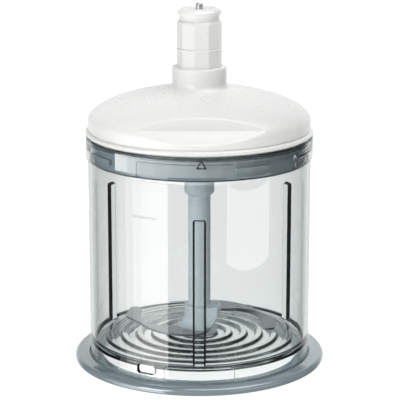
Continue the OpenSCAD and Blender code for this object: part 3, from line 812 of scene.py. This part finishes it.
def hub_section(azimuth):
    """Outline from the foot up the spindle and socket, and back down the keyed bore."""
    levels = [HUB_LOW_Z + 0.3 * i for i in range(69)]
    outline = [Vector((BUSH_R, HUB_LOW_Z))]
    outline += [Vector((hub_radius(azimuth, z), z)) for z in levels]
    across = math.radians(turn_from(azimuth, FRONT, 120)) * 6.6
    key = patch(across, 0, (-1.7, 1.7), (-5, 5), 0.3, 0.4)
    bore = SOCKET_IN_R - KEY_DEPTH * key
    return outline + rounded([
        (SPINDLE_R, 60, 0), (SPINDLE_R, 107, 0.6), (8.7, 108.4, 0.6), (SOCKET_R, 109.3, 0.5),
        (SOCKET_R, 125, 0), (SOCKET_R, HUB_TOP_Z, 0.6), (SOCKET_IN_R, HUB_TOP_Z, 0.4),
        (SOCKET_IN_R, 141.9, 0), (bore, 141.8, 0.2), (bore, SOCKET_FLOOR_Z, 0.3),
        (1, SOCKET_FLOOR_Z, 0), (1, BUSH_TOP_Z, 0), (BUSH_R, BUSH_TOP_Z, 0)], 4)


def make_hub():
    """The hub, with more columns beside the three keys and around the wedge and the foot."""
    marks = [(FRONT + third + side * 14, 2.4) for third in (0, 120, 240) for side in (-1, 1)]
    marks += [(azimuth, 6) for azimuth in (33, 52, 118, 288, 308, 327)]
    hub = piece("hub_moulding", lathe(columns(2.5, marks), hub_section), "blade_hub", creases=55)
    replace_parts(hub, "blade_hub")


# ---------------------------------------------------------------- blades

BLADE_T = 1.4
EDGE_T = 0.3
GROUND_W = 3.0
EYE_R = 9.2
HOLE_R = 5.1
HOLE_STEPS = 32
BLADE_REACH = 57.9
HOOK_R = 4.0
HOOK_AZ = math.radians(-38.1)
LOWER_BLADE_Z = 20.4
UPPER_BLADE_Z = 29.3


def blade_outline():
    """The blade's outline, and how far its top face is ground back at each point."""
    hook = (BLADE_REACH - HOOK_R) * Vector((math.cos(HOOK_AZ), math.sin(HOOK_AZ)))
    crest, bend, corner = (7, 22.6), Vector((36.9, 0.6)), Vector((48.2, -18))
    before, beyond = corner - Vector((1.4, -3.4)), corner - Vector((0.1, 3))
    back = [p for p in bezier((-8, 4), (-5.6, 22), crest, 12) if p.length > EYE_R + 0.1]
    back += bezier(crest, (27, 21.5), bend, 14)[1:]
    back += bezier(bend, (41.5, -7), before, 5)[1:]
    back += bezier(before, corner + Vector((1, 0.6)), beyond, 6)[1:]
    tip = arc(hook, HOOK_R, 0, -180, 14)
    edge = bezier(hook - Vector((HOOK_R, -3)), (40.2, -12), (33.2, -3.2), 12)
    edge += bezier((33.2, -3.2), (27, 2.8), (12, 3.4), 12)[1:]
    eye = arc((0, 0), EYE_R, 10, -204, 40)
    ground = [0] * len(back)
    ground += [GROUND_W * smooth(i, 5, 13) for i in range(len(tip))]
    ground += [GROUND_W * (1 - smooth(i, len(edge) - 8, len(edge) - 1)) for i in range(len(edge))]
    return back + tip + edge + eye, ground + [0] * len(eye)


def make_blade(name, node, z, turn):
    """A flat plate with a bevelled cutting edge and a hole for the hub's core."""
    outline, ground = blade_outline()
    n = len(outline)
    bm = bmesh.new()
    c, s = math.cos(math.radians(turn)), math.sin(math.radians(turn))

    def vert(p, height):
        return bm.verts.new((c * p.x - s * p.y, s * p.x + c * p.y, z + height))

    def ring(points, height):
        verts = [vert(p, height) for p in points]
        pairs = zip(verts, verts[1:] + verts[:1])
        return verts, [bm.edges.new(pair) for pair in pairs]

    inset = []
    for i, p in enumerate(outline):
        along = (outline[(i + 1) % n] - outline[i - 1]).normalized()
        inset.append(p + ground[i] * Vector((along.y, -along.x)))
    low = ring(outline, 0)
    rim = [vert(p, BLADE_T - (BLADE_T - EDGE_T) * g / GROUND_W) for p, g in zip(outline, ground)]
    high = ring(inset, BLADE_T)
    hole = arc((0, 0), HOLE_R, 0, 360 - 360 / HOLE_STEPS, HOLE_STEPS - 1)
    holes = [ring(hole, height) for height in (0, BLADE_T)]
    for i in range(n):
        j = (i + 1) % n
        bm.faces.new((low[0][i], low[0][j], rim[j], rim[i]))
        bm.faces.new((rim[i], rim[j], high[0][j], high[0][i]))
    for i in range(HOLE_STEPS):
        j = (i + 1) % HOLE_STEPS
        bm.faces.new((holes[0][0][i], holes[0][0][j], holes[1][0][j], holes[1][0][i]))
    for outer, inner in ((low, holes[0]), (high, holes[1])):
        bmesh.ops.triangle_fill(bm, edges=outer[1] + inner[1], use_beauty=True)
    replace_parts(piece(name, bm, node, creases=12), node)


def make_blades():
    """Two blades of one shape, half a turn apart."""
    make_blade("lower_sickle", "lower_blade", LOWER_BLADE_Z, 180)
    make_blade("upper_sickle", "upper_blade", UPPER_BLADE_Z, 0)


# ---------------------------------------------------------------- stage

def make_floor():
    """A pale floor. Paths that were mirrored on the way look past it into the dim studio."""
    radius, steps = 4.0, 96
    turns = [2 * math.pi * i / steps for i in range(steps)]
    ring = [(radius * math.cos(turn), radius * math.sin(turn), 0) for turn in turns]
    mesh = bpy.data.meshes.new("floor")
    mesh.from_pydata(ring, [], [tuple(range(steps))])
    floor = bpy.data.objects.new("floor", mesh)
    bpy.context.scene.collection.objects.link(floor)
    t = Tree("floor")
    t.set(Base_Color=(0.3, 0.3, 0.3, 1), Roughness=0.9)
    t.set(Emission_Color=(1, 1, 1, 1), Emission_Strength=0.92)
    path = t.add("ShaderNodeLightPath")
    mirrored = t.add("ShaderNodeMath", operation="GREATER_THAN")
    mirrored.inputs[1].default_value = 0.5
    t.link(path.outputs["Glossy Depth"], mirrored.inputs[0])
    through = t.add("ShaderNodeBsdfTransparent")
    mix = t.add("ShaderNodeMixShader")
    t.link(mirrored.outputs[0], mix.inputs[0])
    t.link(t.bsdf.outputs[0], mix.inputs[1])
    t.link(through.outputs[0], mix.inputs[2])
    t.link(mix.outputs[0], t.out.inputs["Surface"])
    mesh.materials.append(t.material)


def make_world():
    """A dim studio that is bright on its far side, +Y. The camera itself sees plain white."""
    world = bpy.data.worlds.new("world")
    bpy.context.scene.world = world
    world.use_nodes = True
    nt = world.node_tree
    background = nt.nodes["Background"]
    coords = nt.nodes.new("ShaderNodeTexCoord")
    split = nt.nodes.new("ShaderNodeSeparateXYZ")
    nt.links.new(coords.outputs["Generated"], split.inputs[0])
    ramp = nt.nodes.new("ShaderNodeMapRange")
    ramp.interpolation_type = "SMOOTHSTEP"
    for key, number in (("From Min", 0.6), ("From Max", 0.88), ("To Min", 0.0), ("To Max", 1.0)):
        ramp.inputs[key].default_value = number
    nt.links.new(split.outputs["Y"], ramp.inputs["Value"])
    mix = nt.nodes.new("ShaderNodeMix")
    mix.data_type = "RGBA"
    mix.inputs["A"].default_value = (0.07, 0.075, 0.08, 1)
    mix.inputs["B"].default_value = (0.9, 0.93, 0.92, 1)
    nt.links.new(ramp.outputs[0], mix.inputs["Factor"])
    backdrop = nt.nodes.new("ShaderNodeMix")
    backdrop.data_type = "RGBA"
    backdrop.inputs["B"].default_value = (1, 1, 1, 1)
    path = nt.nodes.new("ShaderNodeLightPath")
    nt.links.new(path.outputs["Is Camera Ray"], backdrop.inputs["Factor"])
    nt.links.new(mix.outputs["Result"], backdrop.inputs["A"])
    nt.links.new(backdrop.outputs["Result"], background.inputs["Color"])


def softbox(name, size, watts, at, towards=(0, 0, 0.12)):
    """A soft rectangular lamp that isn't seen itself."""
    light = bpy.data.objects.new(name, bpy.data.lights.new(name, "AREA"))
    bpy.context.scene.collection.objects.link(light)
    light.data.shape = "RECTANGLE"
    light.data.size, light.data.size_y = size
    light.data.energy = watts
    light.location = at
    light.rotation_euler = (Vector(towards) - Vector(at)).to_track_quat("-Z", "Y").to_euler()
    light.visible_camera = False
    return light


def polar(radius, degrees_right, z):
    """A place on the floor plan, counted from the front towards +X."""
    a = math.radians(degrees_right)
    return (radius * math.sin(a), -radius * math.cos(a), z)


CARD_DISTANCE = 0.35
CARD_TOP_Z = 0.062


def card(name, right_from, right_to, z_from, z_to, radiance):
    """A glowing card around the object, between two angles, that only reflections see."""
    a = Vector(polar(CARD_DISTANCE, right_from, 0))
    b = Vector(polar(CARD_DISTANCE, right_to, 0))
    middle = (a + b) / 2
    middle.z = (z_from + z_to) / 2
    size = ((b - a).length, z_to - z_from)
    watts = radiance * math.pi * size[0] * size[1]
    light = softbox(name, size, watts, middle, (0, 0, middle.z))
    light.visible_diffuse = False
    light.visible_transmission = False


def make_lights():
    """Two soft lamps, and cards that fade around the left wall and around the collar."""
    softbox("top", (1.5, 1.5), 30, (0.5, -0.1, 1.9))
    key = softbox("key", (0.8, 0.8), 13, (-0.99, -1.18, 0.53))
    key.visible_transmission = False
    for i, share in enumerate((1.0, 1.0, 0.9, 0.7, 0.45, 0.2)):
        start = -29 - 9 * i
        card(f"card_left_{i}", start - 9, start, -0.35, CARD_TOP_Z, 4.3 * share)
    card("card_right", 25, 69, 0.0, CARD_TOP_Z, 2.2)
    for i in range(12):
        start = -85 + 15 * i
        fade = (1 - i / 12) ** 1.9
        card(f"card_collar_{i}", start, start + 15, CARD_TOP_Z + 0.001, 0.082, 8.6 * fade)


def view_settings():
    """Plain colours, and enough bounces for the walls of a clear bowl."""
    scene = bpy.context.scene
    scene.view_settings.view_transform = "Standard"
    scene.view_settings.look = "None"
    scene.cycles.max_bounces = 24
    scene.cycles.transmission_bounces = 20
    scene.cycles.transparent_max_bounces = 24


make_camera()
view_settings()
dress_nodes()
make_bowl()
make_align_mark()
make_base_ring()
make_lid()
make_coupling()
make_hub()
make_blades()
make_floor()
make_world()
make_lights()
